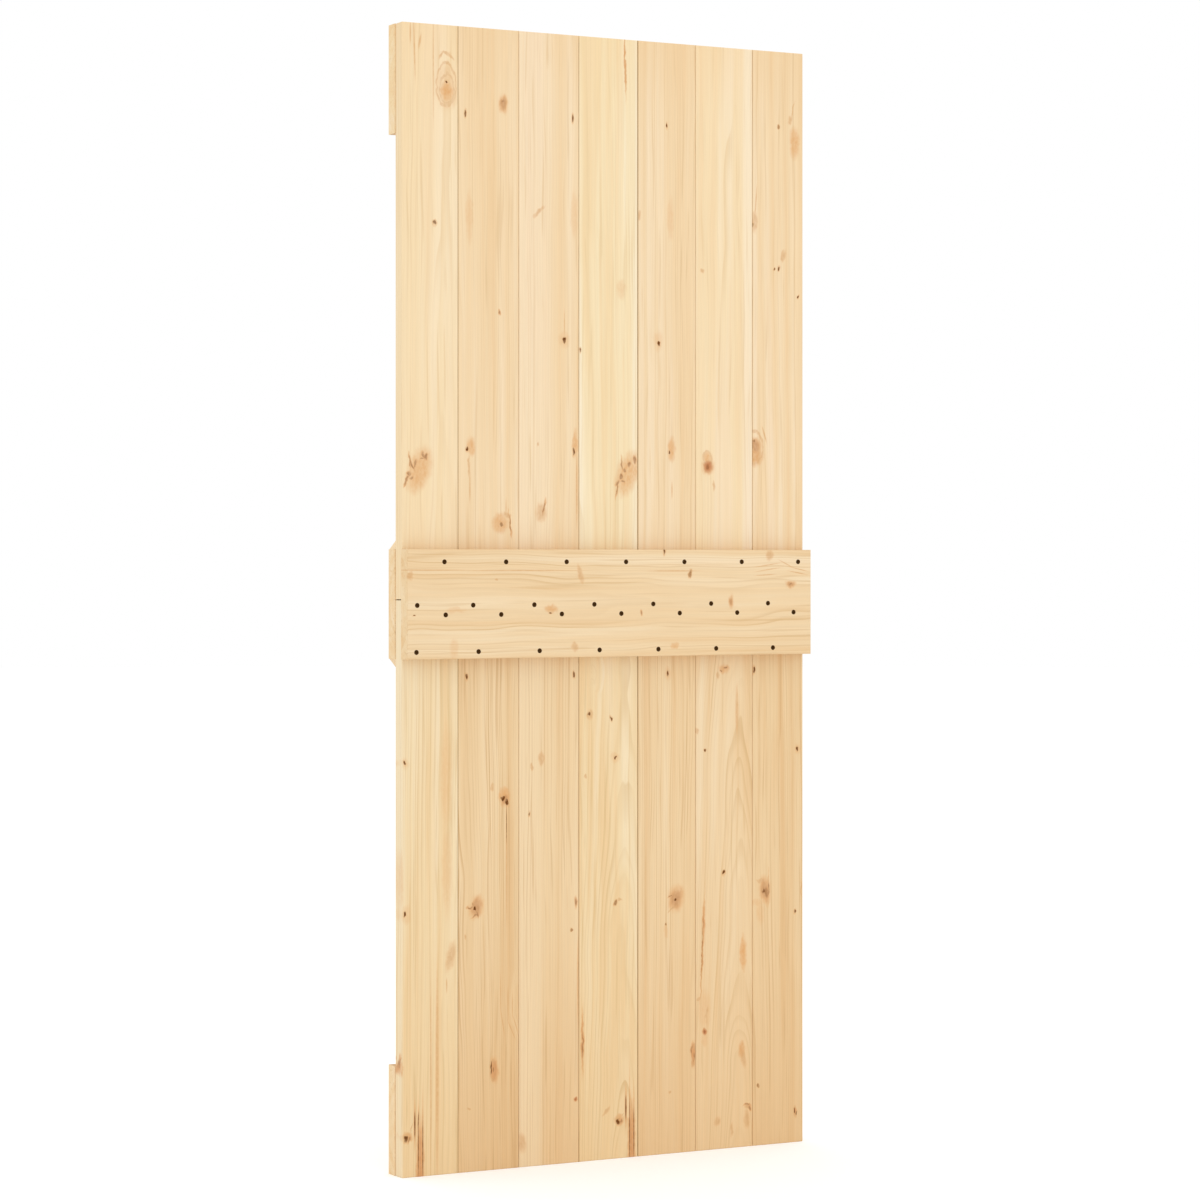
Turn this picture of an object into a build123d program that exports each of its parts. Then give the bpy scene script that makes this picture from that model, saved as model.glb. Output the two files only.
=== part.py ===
from build123d import *
import os
from math import asin, atan2, cos, hypot, radians, sin, tan

# A ledged and braced sliding door leaf in pine. Two tiers of tongued and grooved boards butt at mid
# height. A middle rail on each face bridges that joint, and the front face also carries a top rail, a
# bottom rail and two braces that come together at one end of the middle rail.
# X runs along the width, +Y points out of the front face and +Z is up. The origin is at the middle of
# the top rail's front face, where the hangers of a sliding track are bolted on.

# Leaf
LEAF_HEIGHT = 2100.0
PANEL_WIDTH = 850.0

# Boards: alike across the panel, except that the outer side of the first and the last is trimmed
BOARD_COUNT = 7
END_TRIM = 12.5
BOARD_THICKNESS = 28.0
BOARD_EDGE_ROUND = 1.5
BOARD_END_EASE = 1.0
TIER_GAP = 2.0

# Tongue and groove joints
JOINT_GAP = 0.6
JOINT_CHAMFER = 1.0
TONGUE_LENGTH = 8.0
TONGUE_THICKNESS = 8.0
TONGUE_SIDE_CLEARANCE = 0.2
TONGUE_END_CLEARANCE = 1.0

# Rails
RAIL_HEIGHT = 200.0
RAIL_THICKNESS = 28.0
RAIL_OVERHANG = 1.5
RAIL_EDGE_ROUND = 2.0
MIDDLE_RAIL_DROP = 8.0

# Braces
BRACE_WIDTH = 200.0
BRACE_THICKNESS = 28.0
BRACE_EDGE_EASE = 1.5

# Countersunk wood screws
SCREW_HEAD_DIAMETER = 9.0
SCREW_SHANK_DIAMETER = 4.5
SCREW_HEAD_ANGLE = 90.0
SCREW_SINK = 0.3
SCREW_TIP_LENGTH = 5.0
SCREW_TIP_RADIUS = 0.4
SCREW_CLEARANCE = 0.15
PILOT_RELIEF = 1.0
BACK_SCREW_BITE = 16.0
FRONT_SCREW_BITE = 18.0

# Screw rows of the back rail. The first and fourth keep their distance from the rail's edges, and the
# second and third from its middle line.
FIRST_ROW_EDGE = 23.0
SECOND_ROW_DROP = 2.0
THIRD_ROW_DROP = 19.5
FOURTH_ROW_EDGE = 13.0
# Across the width, the first and fourth rows are set out from the sides of untrimmed boards, and the
# second and third from the left side that each board has
FIRST_ROW_INSET = 40.0
SECOND_ROW_INSET = 18.0
THIRD_ROW_INSET = 75.0
FOURTH_ROW_INSET = 29.0

# Screws of the front face, in from the edges of the rails, boards and braces that they hold
RAIL_SCREW_EDGE = 32.0
RAIL_SCREW_INSET = 30.0
BRACE_SCREW_EDGE = 40.0
BRACE_SCREW_END = 25.0
BRACE_SCREW_PAIRS = 5

# Directions out of the two faces
FRONT = 1
BACK = -1

# Heights
leaf_top = RAIL_HEIGHT / 2
leaf_bottom = leaf_top - LEAF_HEIGHT
mid_height = leaf_top - LEAF_HEIGHT / 2
top_rail_z = leaf_top - RAIL_HEIGHT / 2
bottom_rail_z = leaf_bottom + RAIL_HEIGHT / 2
middle_rail_z = mid_height - MIDDLE_RAIL_DROP

# Faces across the thickness
rail_front_y = 0.0
board_front_y = rail_front_y - RAIL_THICKNESS
board_back_y = board_front_y - BOARD_THICKNESS
board_middle_y = (board_front_y + board_back_y) / 2
rail_back_y = board_back_y - RAIL_THICKNESS
brace_front_y = board_front_y + BRACE_THICKNESS

# Joint lines across the width
panel_left = -PANEL_WIDTH / 2
panel_right = PANEL_WIDTH / 2
board_pitch = (PANEL_WIDTH + 2 * END_TRIM) / BOARD_COUNT
untrimmed_lefts = [panel_left - END_TRIM + board_pitch * i for i in range(BOARD_COUNT)]
untrimmed_rights = [left + board_pitch for left in untrimmed_lefts]
board_lefts = [panel_left] + untrimmed_lefts[1:]
board_rights = untrimmed_rights[:-1] + [panel_right]
rail_length = PANEL_WIDTH + 2 * RAIL_OVERHANG

# Screw sizes that follow from the head, the shank and the layers that a screw goes through
head_radius = SCREW_HEAD_DIAMETER / 2
shank_radius = SCREW_SHANK_DIAMETER / 2
head_depth = (head_radius - shank_radius) / tan(radians(SCREW_HEAD_ANGLE / 2))
hole_radius = shank_radius + SCREW_CLEARANCE
sink_radius = head_radius + SCREW_CLEARANCE
back_screw_length = RAIL_THICKNESS + BOARD_THICKNESS + BACK_SCREW_BITE
rail_screw_length = RAIL_THICKNESS + FRONT_SCREW_BITE
brace_screw_length = BRACE_THICKNESS + FRONT_SCREW_BITE


def row(sides, inset, height):
    """One screw for each board at one height, set in to the right of a side, or to the left if negative."""
    return [(side + inset, height) for side in sides]


def rail_screw_places(height):
    """Two screws in each board for a front rail: one high near the right joint, one low near the left."""
    rise = RAIL_HEIGHT / 2 - RAIL_SCREW_EDGE
    upper = row(board_rights, -RAIL_SCREW_INSET, height + rise)
    return upper + row(board_lefts, RAIL_SCREW_INSET, height - rise)


def brace_corners(near, far):
    """The four corners of a brace between two rail edges: near at the left end, far at the right end."""
    rise = abs(far - near)
    angle = asin(BRACE_WIDTH / hypot(PANEL_WIDTH, rise)) + atan2(rise, PANEL_WIDTH)
    end = BRACE_WIDTH / sin(angle)
    return [(panel_left, near), (panel_left + end, near), (panel_right, far), (panel_right - end, far)]


def brace_screw_places(corners):
    """Pairs of screws square across the brace, evenly spaced along it and kept inside its level ends."""
    (x1, near), (x2, _), (x3, far), (x4, _) = corners
    run = (x3 + x4 - x1 - x2) / 2
    rise = far - near
    angle = atan2(rise, run)
    half_pair = BRACE_WIDTH / 2 - BRACE_SCREW_EDGE
    margin = (half_pair * cos(angle) + BRACE_SCREW_END) / abs(rise)
    places = []
    for i in range(BRACE_SCREW_PAIRS):
        along = margin + (1 - 2 * margin) * i / (BRACE_SCREW_PAIRS - 1)
        x = (x1 + x2) / 2 + run * along
        z = near + rise * along
        for across in (-half_pair, half_pair):
            places.append((x - across * sin(angle), z + across * cos(angle)))
    return places


def seats(places, y, out):
    """Planes on a face at the given screw places, each facing out of that face."""
    return [Plane(origin=(x, y, z), z_dir=(0, out, 0)) for x, z in places]


middle_rail_top = middle_rail_z + RAIL_HEIGHT / 2
middle_rail_bottom = middle_rail_z - RAIL_HEIGHT / 2
back_rows = [
    row(untrimmed_rights, -FIRST_ROW_INSET, middle_rail_top - FIRST_ROW_EDGE),
    row(board_lefts, SECOND_ROW_INSET, middle_rail_z - SECOND_ROW_DROP),
    row(board_lefts, THIRD_ROW_INSET, middle_rail_z - THIRD_ROW_DROP),
    row(untrimmed_lefts, FOURTH_ROW_INSET, middle_rail_bottom + FOURTH_ROW_EDGE),
]
back_places = [place for places in back_rows for place in places]

top_rail_places = rail_screw_places(top_rail_z)
bottom_rail_places = rail_screw_places(bottom_rail_z)
upper_corners = brace_corners(middle_rail_top, top_rail_z - RAIL_HEIGHT / 2)
lower_corners = brace_corners(middle_rail_bottom, bottom_rail_z + RAIL_HEIGHT / 2)
upper_places = brace_screw_places(upper_corners)
lower_places = brace_screw_places(lower_corners)
front_places = top_rail_places + bottom_rail_places + upper_places + lower_places

os.makedirs("parts", exist_ok=True)


def finish(piece, name):
    """Name a piece and write it out."""
    piece.part.label = name
    export_step(piece.part, f"parts/{name}.step")


def build_board(name, index, bottom, top, outer_end):
    """One board, grooved on its left side and tongued on its right, drilled for the screws in it."""
    first = index == 0
    last = index == BOARD_COUNT - 1
    left = board_lefts[index] + (0 if first else JOINT_GAP / 2)
    right = board_rights[index] - (0 if last else JOINT_GAP / 2)

    with BuildPart() as board:
        with BuildSketch(Plane.XY.offset(bottom)) as profile:
            with Locations(((left + right) / 2, board_middle_y)):
                Rectangle(right - left, BOARD_THICKNESS)
            sides = profile.vertices().group_by(Axis.X)
            for corners, plain in ((sides[0], first), (sides[-1], last)):
                if plain:
                    fillet(corners, BOARD_EDGE_ROUND)
                else:
                    chamfer(corners, JOINT_CHAMFER)
            if not last:
                with Locations((right, board_middle_y)):
                    Rectangle(TONGUE_LENGTH, TONGUE_THICKNESS, align=(Align.MIN, Align.CENTER))
            if not first:
                depth = TONGUE_LENGTH - JOINT_GAP + TONGUE_END_CLEARANCE
                width = TONGUE_THICKNESS + 2 * TONGUE_SIDE_CLEARANCE
                with Locations((left, board_middle_y)):
                    Rectangle(depth, width, align=(Align.MIN, Align.CENTER), mode=Mode.SUBTRACT)
        extrude(amount=top - bottom)

        end_face = board.faces().sort_by(Axis.Z)[outer_end]
        end_edges = end_face.edges().filter_by(Axis.X).sort_by(Axis.Y)
        chamfer([end_edges[0], end_edges[-1]], BOARD_END_EASE)

        def within(place):
            """Whether a screw at this place cuts the board."""
            x, z = place
            beside = left - hole_radius < x < right + TONGUE_LENGTH + hole_radius
            return beside and bottom - hole_radius < z < top + hole_radius

        through = seats(filter(within, back_places), board_back_y, BACK)
        if through:
            with Locations(*through):
                Hole(hole_radius, depth=BOARD_THICKNESS)
        blind = seats(filter(within, front_places), board_front_y, FRONT)
        if blind:
            with Locations(*blind):
                Hole(hole_radius, depth=FRONT_SCREW_BITE + PILOT_RELIEF)
    finish(board, name)


def build_rail(name, face_y, out, height, sunk=(), pilots=()):
    """One rail on a face of the boards, countersunk for its own screws or drilled for those behind it."""
    with BuildPart() as rail:
        with BuildSketch(Plane(origin=(0, face_y, 0), x_dir=(-out, 0, 0), z_dir=(0, out, 0))):
            with Locations((0, height)):
                Rectangle(rail_length, RAIL_HEIGHT)
        extrude(amount=-RAIL_THICKNESS)
        fillet(rail.faces().sort_by(Axis.Y)[-1 if out == FRONT else 0].edges(), RAIL_EDGE_ROUND)
        if sunk:
            with Locations(*seats(sunk, face_y - out * SCREW_SINK, out)):
                CounterSinkHole(hole_radius, sink_radius, counter_sink_angle=SCREW_HEAD_ANGLE)
        if pilots:
            with Locations(*seats(pilots, board_front_y, BACK)):
                Hole(hole_radius, depth=BACK_SCREW_BITE + PILOT_RELIEF)
    finish(rail, name)


def build_brace(name, corners, places):
    """One brace, cut level at both ends to sit against two rails, and countersunk for its screws."""
    with BuildPart() as brace:
        with BuildSketch(Plane(origin=(0, board_front_y, 0), x_dir=(1, 0, 0), z_dir=(0, -1, 0))):
            with BuildLine():
                Polyline(*corners, close=True)
            make_face()
        extrude(amount=-BRACE_THICKNESS)
        chamfer(brace.faces().sort_by(Axis.Y)[-1].edges(), BRACE_EDGE_EASE)
        with Locations(*seats(places, brace_front_y - SCREW_SINK, FRONT)):
            CounterSinkHole(hole_radius, sink_radius, counter_sink_angle=SCREW_HEAD_ANGLE)
    finish(brace, name)


def build_screws(name, length, places, face_y, out):
    """A set of screws driven into one face, each turned about its own axis."""
    with BuildPart() as screw:
        with BuildSketch(Plane.XZ):
            with BuildLine():
                Polyline(
                    (0, 0),
                    (head_radius, 0),
                    (shank_radius, -head_depth),
                    (shank_radius, SCREW_TIP_LENGTH - length),
                    (SCREW_TIP_RADIUS, -length),
                    (0, -length),
                    close=True,
                )
            make_face()
        revolve(axis=Axis.Z)
    with BuildPart() as screws:
        with Locations(*seats(places, face_y - out * SCREW_SINK, out)):
            add(screw.part)
    finish(screws, name)


# The two tiers of boards
for i in range(BOARD_COUNT):
    build_board(f"upper_board_{i + 1}", i, mid_height + TIER_GAP / 2, leaf_top, outer_end=-1)
    build_board(f"lower_board_{i + 1}", i, leaf_bottom, mid_height - TIER_GAP / 2, outer_end=0)

# The rails
build_rail("back_middle_rail", rail_back_y, BACK, middle_rail_z, sunk=back_places)
build_rail("front_middle_rail", rail_front_y, FRONT, middle_rail_z, pilots=back_places)
build_rail("front_top_rail", rail_front_y, FRONT, top_rail_z, sunk=top_rail_places)
build_rail("front_bottom_rail", rail_front_y, FRONT, bottom_rail_z, sunk=bottom_rail_places)

# The braces
build_brace("upper_brace", upper_corners, upper_places)
build_brace("lower_brace", lower_corners, lower_places)

# The screws
for number, places in enumerate(back_rows, start=1):
    build_screws(f"back_screw_row_{number}", back_screw_length, places, rail_back_y, BACK)
build_screws("top_rail_screws", rail_screw_length, top_rail_places, rail_front_y, FRONT)
build_screws("bottom_rail_screws", rail_screw_length, bottom_rail_places, rail_front_y, FRONT)
build_screws("upper_brace_screws", brace_screw_length, upper_places, brace_front_y, FRONT)
build_screws("lower_brace_screws", brace_screw_length, lower_places, brace_front_y, FRONT)
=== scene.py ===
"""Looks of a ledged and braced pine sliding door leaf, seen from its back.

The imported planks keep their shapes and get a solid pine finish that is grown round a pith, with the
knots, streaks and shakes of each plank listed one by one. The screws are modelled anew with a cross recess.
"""

import logging
from dataclasses import dataclass
from enum import Enum
from math import asin, atan2, cos, hypot, pi, radians, sin
from random import Random
from typing import Callable, Mapping, Sequence

import bpy
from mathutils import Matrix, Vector


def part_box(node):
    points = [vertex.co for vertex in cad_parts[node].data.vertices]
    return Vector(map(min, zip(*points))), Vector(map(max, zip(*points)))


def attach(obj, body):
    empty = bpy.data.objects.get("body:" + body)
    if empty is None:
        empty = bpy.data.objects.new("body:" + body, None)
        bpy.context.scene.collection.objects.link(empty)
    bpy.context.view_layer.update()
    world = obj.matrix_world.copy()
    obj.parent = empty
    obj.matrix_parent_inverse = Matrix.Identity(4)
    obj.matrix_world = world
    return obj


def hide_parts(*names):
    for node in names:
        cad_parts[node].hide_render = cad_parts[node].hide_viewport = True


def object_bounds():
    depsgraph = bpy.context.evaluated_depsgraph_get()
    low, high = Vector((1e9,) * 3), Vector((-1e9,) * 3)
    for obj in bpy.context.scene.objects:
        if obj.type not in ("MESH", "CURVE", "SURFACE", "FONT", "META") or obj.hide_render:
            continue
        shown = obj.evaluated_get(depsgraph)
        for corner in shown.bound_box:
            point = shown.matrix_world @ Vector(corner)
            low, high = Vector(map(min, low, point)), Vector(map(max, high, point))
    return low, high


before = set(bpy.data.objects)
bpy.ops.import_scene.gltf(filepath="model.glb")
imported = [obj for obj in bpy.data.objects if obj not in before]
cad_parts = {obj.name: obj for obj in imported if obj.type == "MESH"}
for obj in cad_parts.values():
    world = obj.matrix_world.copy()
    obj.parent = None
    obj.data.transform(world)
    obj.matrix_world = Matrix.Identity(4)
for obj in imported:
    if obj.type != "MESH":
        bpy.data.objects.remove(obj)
cad_low, cad_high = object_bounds()

LOG = logging.getLogger("sliding_door")
MM = 0.001
BODY = "root"
RAIL_OVERHANG = 1.5 * MM
# Two heights that are nearer than this are the same, and a face whose normal has this much of a
# direction looks that way.
SLACK = 0.01 * MM
SQUARE_ON = 0.9

Colour = tuple[float, float, float, float]
Stretch = tuple[float, float, float]
Link = bpy.types.NodeSocket


def srgb(red: int, green: int, blue: int) -> Colour:
    """Turn a colour read as 0 to 255 into the linear colour that a shader takes.

    Args:
        red: red level.
        green: green level.
        blue: blue level.

    Returns:
        The linear colour, opaque.
    """
    def linear(level: int) -> float:
        """Undo the display curve of one level."""
        share = level / 255
        return share / 12.92 if share <= 0.04045 else ((share + 0.055) / 1.055) ** 2.4

    return linear(red), linear(green), linear(blue), 1.0


class NodeBench:
    """Adds shader nodes to one tree and joins them."""

    def __init__(self, tree: bpy.types.NodeTree) -> None:
        """Keep the tree that the nodes go into."""
        self.tree = tree

    @classmethod
    def of(cls, owner: bpy.types.Material | bpy.types.World) -> "NodeBench":
        """Clear the nodes of a material or a world, and work on those.

        Args:
            owner: the material or the world.

        Returns:
            A bench on its node tree.
        """
        owner.use_nodes = True
        owner.node_tree.nodes.clear()
        return cls(owner.node_tree)

    def add(self, kind: str, **settings: object) -> bpy.types.Node:
        """Add one node.

        Args:
            kind: the node's class, without its Shader prefix where it has one.
            settings: properties set on the node.

        Returns:
            The new node.
        """
        prefix = "" if kind.startswith("Node") else "ShaderNode"
        node = self.tree.nodes.new(prefix + kind)
        for name, value in settings.items():
            setattr(node, name, value)
        return node

    def feed(self, socket: Link, value: object) -> None:
        """Join a socket to another one, or set its value.

        Args:
            socket: the socket that is fed.
            value: the other socket, or the value.
        """
        if isinstance(value, bpy.types.NodeSocket):
            self.tree.links.new(value, socket)
        else:
            socket.default_value = value

    def math(self, operation: str, *values: object, clamp: bool = False) -> Link:
        """Work out one number from others.

        Args:
            operation: the Math node's operation.
            values: sockets or numbers, in the operation's order.
            clamp: keep the result between 0 and 1.

        Returns:
            The result's socket.
        """
        node = self.add("Math", operation=operation, use_clamp=clamp)
        for socket, value in zip(node.inputs, values):
            self.feed(socket, value)
        return node.outputs[0]

    def vector(self, operation: str, *values: object) -> Link:
        """Work out a vector, or a number for a dot product or a length.

        Args:
            operation: the Vector Math node's operation.
            values: sockets or vectors, in the operation's order.

        Returns:
            The result's socket.
        """
        node = self.add("VectorMath", operation=operation)
        for socket, value in zip(node.inputs, values):
            self.feed(socket, value)
        return node.outputs["Value" if operation in ("DOT_PRODUCT", "LENGTH") else "Vector"]

    def parts(self, vector: Link) -> dict[str, Link]:
        """Take a vector apart.

        Args:
            vector: the vector.

        Returns:
            The sockets of its parts, by the names X, Y and Z.
        """
        node = self.add("SeparateXYZ")
        self.feed(node.inputs[0], vector)
        return {socket.name: socket for socket in node.outputs}

    def noise(self, place: Link, stretch: Stretch, detail: float = 1.0) -> bpy.types.Node:
        """Add noise that is stretched along the plank.

        Args:
            place: where the noise is read.
            stretch: its scale across, through and along the plank, per metre.
            detail: its octaves.

        Returns:
            The noise node.
        """
        node = self.add("TexNoise")
        self.feed(node.inputs["Vector"], self.vector("MULTIPLY", place, stretch))
        node.inputs["Scale"].default_value = 1.0
        node.inputs["Detail"].default_value = detail
        return node

    def jostle(self, place: Link, stretch: Stretch, reach: Stretch, detail: float = 1.0) -> Link:
        """Push a place about with noise.

        Args:
            place: the place.
            stretch: the noise's scale across, through and along the plank, per metre.
            reach: how far it can push from side to side, in metres.
            detail: the noise's octaves.

        Returns:
            The pushed place's socket.
        """
        push = self.noise(place, stretch, detail).outputs["Color"]
        push = self.vector("MULTIPLY", self.vector("SUBTRACT", push, (0.5, 0.5, 0.5)), reach)
        return self.vector("ADD", place, push)

    def skin(self, height: Link, strength: float, distance: float, sockets: Mapping[str, object]) -> None:
        """Cover a material with one bumpy shader.

        Args:
            height: what the bumps are made from.
            strength: how strongly they show.
            distance: how far they stand up, in metres.
            sockets: what goes into the shader's own sockets, by their names.
        """
        bump = self.add("Bump")
        shader = self.add("BsdfPrincipled")
        bumps = {"Strength": strength, "Distance": distance, "Height": height}
        for node, values in ((bump, bumps), (shader, {**sockets, "Normal": bump.outputs["Normal"]})):
            for name, value in values.items():
                self.feed(node.inputs[name], value)
        self.feed(self.add("OutputMaterial").inputs["Surface"], shader.outputs["BSDF"])

    def span(self, value: object, low: object, high: object, start: float = 0.0, stop: float = 1.0) -> Link:
        """Ease a number from one range into another, held at both ends.

        Args:
            value: the number.
            low: where the change begins.
            high: where the change ends.
            start: the result up to low.
            stop: the result from high on.

        Returns:
            The result's socket.
        """
        node = self.add("MapRange", interpolation_type="SMOOTHSTEP")
        for socket, level in zip(node.inputs, (value, low, high, start, stop)):
            self.feed(socket, level)
        return node.outputs["Result"]

    def blend(self, share: object, first: object, second: object, mode: str = "MIX") -> Link:
        """Mix two colours.

        Args:
            share: how much of the second colour there is.
            first: the colour underneath.
            second: the colour on top.
            mode: how the second goes over the first.

        Returns:
            The mixed colour's socket.
        """
        node = self.add("Mix", data_type="RGBA", blend_type=mode)
        self.feed(node.inputs[0], share)
        self.feed(node.inputs[6], first)
        self.feed(node.inputs[7], second)
        return node.outputs[2]


class Tone(Enum):
    """Named tones of bare pine: its palest bands, its body, its warm bands and its late wood."""

    LEMON = (srgb(252, 237, 206), srgb(249, 228, 187), srgb(246, 219, 173), srgb(232, 202, 153))
    SHELL = (srgb(252, 234, 204), srgb(248, 223, 181), srgb(245, 213, 167), srgb(230, 196, 146))
    CREAM = (srgb(250, 228, 194), srgb(245, 217, 175), srgb(241, 207, 160), srgb(224, 188, 138))
    BUTTER = (srgb(248, 228, 191), srgb(245, 220, 176), srgb(241, 209, 160), srgb(222, 187, 134))
    STRAW = (srgb(247, 224, 187), srgb(242, 213, 170), srgb(237, 202, 154), srgb(219, 181, 129))
    OAT = (srgb(246, 221, 181), srgb(241, 211, 166), srgb(235, 198, 149), srgb(212, 170, 118))
    HONEY = (srgb(245, 218, 176), srgb(239, 208, 162), srgb(232, 194, 144), srgb(207, 163, 111))


class Channel(Enum):
    """What a mark does to the wood where it lies."""

    LIFT = "Lift"
    PALE = "Pale Share"
    STAIN = "Stain"
    BLUSH = "Blush"
    HEART = "Heart"


class Kind(Enum):
    """Kinds of mark in the wood: for each channel that it works on, its strength and how tight it is."""

    PIN = ((Channel.HEART, 1.0, 1.0), (Channel.STAIN, 0.60, 0.3))
    SPOT = ((Channel.HEART, 0.50, 0.8), (Channel.STAIN, 0.80, 0.5))
    FLECK = ((Channel.HEART, 0.42, 0.8), (Channel.BLUSH, 0.25, 0.35), (Channel.STAIN, 0.70, 0.2))
    RING = ((Channel.HEART, 0.08, 1.0), (Channel.STAIN, 0.45, 0.5))
    KNOT = ((Channel.STAIN, 0.80, 0.7), (Channel.BLUSH, 0.24, 1.2), (Channel.HEART, 0.20, 2.0))
    TAN = ((Channel.STAIN, 0.90, 0.9), (Channel.HEART, 0.05, 1.1))
    PATCH = ((Channel.STAIN, 0.80, 0.9),)
    RESIN = ((Channel.STAIN, 1.0, 0.8),)
    TINT = ((Channel.STAIN, 0.35, 0.7),)
    SMUDGE = ((Channel.STAIN, 0.55, 0.8), (Channel.HEART, 0.10, 1.2))
    RED = ((Channel.BLUSH, 0.80, 0.9), (Channel.STAIN, 0.80, 0.5), (Channel.HEART, 0.45, 6.0))
    AMBER = ((Channel.BLUSH, 0.30, 0.9), (Channel.STAIN, 0.95, 0.6))
    STREAK = ((Channel.STAIN, 0.60, 0.8), (Channel.HEART, 0.08, 1.2))
    SHAKE = ((Channel.HEART, 0.85, 0.9), (Channel.BLUSH, 0.45, 0.5), (Channel.STAIN, 0.60, 0.2))
    SWIRL = ((Channel.LIFT, 0.008, 0.5),)
    BAND = ((Channel.PALE, 0.70, 0.8),)

    @property
    def straight(self) -> bool:
        """Whether the mark keeps a clean edge along the grain."""
        return self in (Kind.STREAK, Kind.SHAKE, Kind.BAND)

    @property
    def crisp(self) -> bool:
        """Whether the mark is small and sharp, and doesn't fade out slowly."""
        return self in (Kind.PIN, Kind.SPOT, Kind.FLECK, Kind.RING, Kind.SHAKE)


@dataclass(frozen=True)
class Mark:
    """One mark on a plank, placed from the leaf's left side and its foot as the back shows them.

    Attributes:
        kind: what the mark is.
        across: distance from the leaf's left side, in millimetres.
        up: height over the leaf's foot, in millimetres.
        wide: half its width, in millimetres.
        tall: half its height, in millimetres.
        lean: how far its top leans to the right, in degrees.
    """

    kind: Kind
    across: float
    up: float
    wide: float
    tall: float
    lean: float = 0.0


@dataclass(frozen=True)
class Growth:
    """How a plank sits in the log that it was sawn from.

    Attributes:
        seed: picks the plank's own noise.
        pith: where the pith runs, across and behind the plank's middle, in millimetres.
        rise: how far the pith comes forward for each metre of plank, in millimetres.
        ring: width of a year's growth, in millimetres.
        contrast: how strongly the late wood shows.
        banding: how strongly pale and warm bands show.
        wander: how far the rings stray, in millimetres.
        wave: how far the grain waves, in millimetres.
    """

    seed: float
    pith: tuple[float, float]
    rise: float = 8.0
    ring: float = 4.0
    contrast: float = 0.5
    banding: float = 0.75
    wander: float = 10.0
    wave: float = 3.0


class MarkField:
    """Gathers the marks of one plank in its material, channel by channel."""

    CRISP = (1.3, 0.3)
    SOFT = (1.9, 0.0)
    RAGGED = ((90.0, 90.0, 55.0), (0.009, 0.0, 0.016), 2.0)
    RING_LINE = 1.4 * MM

    def __init__(self, bench: NodeBench) -> None:
        """Read the place on the leaf, straight and with ragged noise.

        Args:
            bench: where the nodes go.
        """
        self.bench = bench
        self.straight = bench.add("TexCoord").outputs["Object"]
        self.ragged = bench.jostle(self.straight, *self.RAGGED)
        self.sums: dict[Channel, Link] = {}

    def add(self, mark: Mark) -> None:
        """Add one mark to the channels that it works on.

        Args:
            mark: the mark.
        """
        bench = self.bench
        lean = radians(mark.lean)
        place = self.straight if mark.kind.straight else self.ragged
        centre = (cad_low.x + RAIL_OVERHANG + mark.across * MM, 0.0, cad_low.z + mark.up * MM)
        offset = bench.vector("SUBTRACT", place, centre)
        wide, tall = mark.wide * MM, mark.tall * MM
        beside = bench.vector("DOT_PRODUCT", offset, (cos(lean) / wide, 0.0, -sin(lean) / wide))
        along = bench.vector("DOT_PRODUCT", offset, (sin(lean) / tall, 0.0, cos(lean) / tall))
        away = bench.math("MULTIPLY_ADD", beside, beside, bench.math("MULTIPLY", along, along))
        if mark.kind is Kind.RING:
            off_line = bench.math("SUBTRACT", bench.math("SQRT", away), 1.0)
            off_line = bench.math("MULTIPLY", off_line, wide / self.RING_LINE)
            away = bench.math("MULTIPLY", off_line, off_line)
        edge, core = self.CRISP if mark.kind.crisp else self.SOFT
        for channel, strength, tight in mark.kind.value:
            level = bench.span(away, edge / tight, core / tight, 0.0, strength)
            if channel in self.sums:
                operation = "ADD" if channel is Channel.LIFT else "MAXIMUM"
                level = bench.math(operation, self.sums[channel], level)
            self.sums[channel] = level


class Grain(Enum):
    """Noises in the wood: how fast each changes across, through and along the plank, per metre."""

    STRAY = (5.0, 5.0, 1.3)
    SWAY = (6.0, 6.0, 4.0)
    SWELL = (9.0, 9.0, 5.5)
    BROAD = (13.0, 13.0, 0.9)
    FADE = (24.0, 24.0, 2.4)
    PINK = (29.0, 29.0, 1.1)
    TREMBLE = (38.0, 38.0, 3.6)
    NARROW = (60.0, 60.0, 1.5)
    STREAK = (170.0, 170.0, 3.2)
    MOTTLE = (240.0, 240.0, 130.0)
    FIBRE = (420.0, 420.0, 5.0)


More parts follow.
